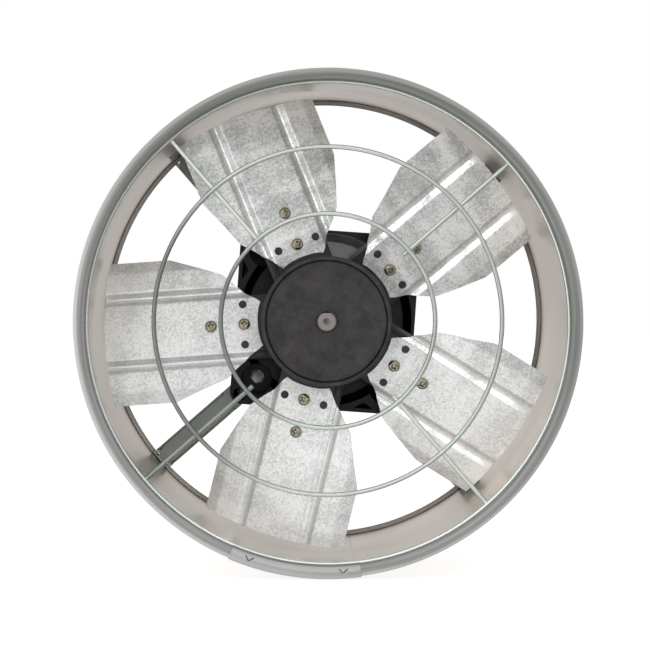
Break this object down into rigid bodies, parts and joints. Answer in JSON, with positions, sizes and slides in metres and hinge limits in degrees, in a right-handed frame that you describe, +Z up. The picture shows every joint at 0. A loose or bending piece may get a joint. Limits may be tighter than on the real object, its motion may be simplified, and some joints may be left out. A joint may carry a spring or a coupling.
{
  "type": "exhaust hood fan",
  "caption": "Round ducted exhaust fan: pressed sheet blades on a moulded hub turn behind a wire guard, driven by a motor that diagonal arms hold in a sheet ring with a rolled front bead.",
  "frame": {"origin": "on the fan's axis, level with the back of the rolled front bead, where the ring stops against a wall", "axes": "+Y along the fan's axis from the guard to the motor, +Z up, +X right for someone who faces the guard"},
  "size_m": [0.4, 0.218, 0.4007],
  "materials": {
    "duct_sheet": "rolled sheet, fine brushed, half mirror",
    "strap_sheet": "thin clinched sheet, satin",
    "guard_wire": "zinc plated wire, pale green tint",
    "arm_sheet": "zinc plated sheet, dull olive grey",
    "motor_black": "black enamel, semi gloss",
    "zinc_fasteners": "bright zinc plate",
    "bearing_steel": "ground",
    "cage_polymer": "moulded",
    "spring_steel": "blued",
    "core_steel": "stacked laminations",
    "copper_wire": "varnished winding wire",
    "protector_plastic": "moulded",
    "cast_aluminium": "as cast",
    "shaft_steel": "turned",
    "hub_plastic": "charcoal moulding, fine grain",
    "blade_sheet": "galvanised with fine spangle",
    "yellow_zinc": "yellow passivated zinc",
    "capacitor_can": "moulded can",
    "gland_plastic": "moulded",
    "cable_rubber": "extruded sheath",
    "core_insulation": "wire insulation"
  },
  "bodies": {
    "frame": {"cable_cores": "core_insulation", "cable_gland": "gland_plastic", "cable_ties": "gland_plastic", "capacitor": "capacitor_can", "capacitor_clamp": "zinc_fasteners", "clamp_screw": "zinc_fasteners", "corner_nuts": "zinc_fasteners", "corner_screws": "zinc_fasteners", "duct_shell": "duct_sheet", "front_bearing_outer_race": "bearing_steel", "guard_inner_ring": "guard_wire", "guard_middle_ring": "guard_wire", "guard_outer_ring": "guard_wire", "guard_spoke_1": "guard_wire", "guard_spoke_2": "guard_wire", "guard_spoke_3": "guard_wire", "guard_spoke_4": "guard_wire", "motor_arm_1": "arm_sheet", "motor_arm_2": "arm_sheet", "motor_arm_3": "arm_sheet", "motor_arm_4": "arm_sheet", "motor_front_shield": "motor_black", "motor_rear_shield": "motor_black", "power_cable": "cable_rubber", "preload_spring": "spring_steel", "rear_bearing_outer_race": "bearing_steel", "rim_joint_strap": "strap_sheet", "stator_core": "core_steel", "stator_windings": "copper_wire", "thermal_protector": "protector_plastic", "through_bolts": "zinc_fasteners", "through_nuts": "zinc_fasteners", "through_washers": "zinc_fasteners"},
    "rotor": {"motor_shaft": "shaft_steel", "rotor_core": "core_steel", "rotor_cage": "cast_aluminium", "front_bearing_inner_race": "bearing_steel", "rear_bearing_inner_race": "bearing_steel", "hub": "hub_plastic", "hub_cap": "hub_plastic", "hub_bushing": "shaft_steel", "hub_set_screw": "bearing_steel", "blade_1": "blade_sheet", "blade_2": "blade_sheet", "blade_3": "blade_sheet", "blade_4": "blade_sheet", "blade_5": "blade_sheet", "blade_screws": "yellow_zinc", "blade_nuts": "zinc_fasteners"},
    "front_cage": {"front_bearing_balls": "bearing_steel", "front_bearing_cage": "cage_polymer"},
    "rear_cage": {"rear_bearing_balls": "bearing_steel", "rear_bearing_cage": "cage_polymer"}
  },
  "joints": [
    {"name": "rotor_spin", "type": "hinge", "parent": "frame", "child": "rotor", "pos_m": [0, 0.07, 0], "axis": [0, 1, 0], "continuous": true},
    {"name": "front_cage_spin", "type": "hinge", "parent": "frame", "child": "front_cage", "pos_m": [0, 0.11, 0], "axis": [0, 1, 0], "continuous": true},
    {"name": "rear_cage_spin", "type": "hinge", "parent": "frame", "child": "rear_cage", "pos_m": [0, 0.181, 0], "axis": [0, 1, 0], "continuous": true}
  ],
  "couplings": [
    {"joint": "front_cage_spin", "follows": "rotor_spin", "ratio": 0.3825},
    {"joint": "rear_cage_spin", "follows": "rotor_spin", "ratio": 0.3825}
  ]
}
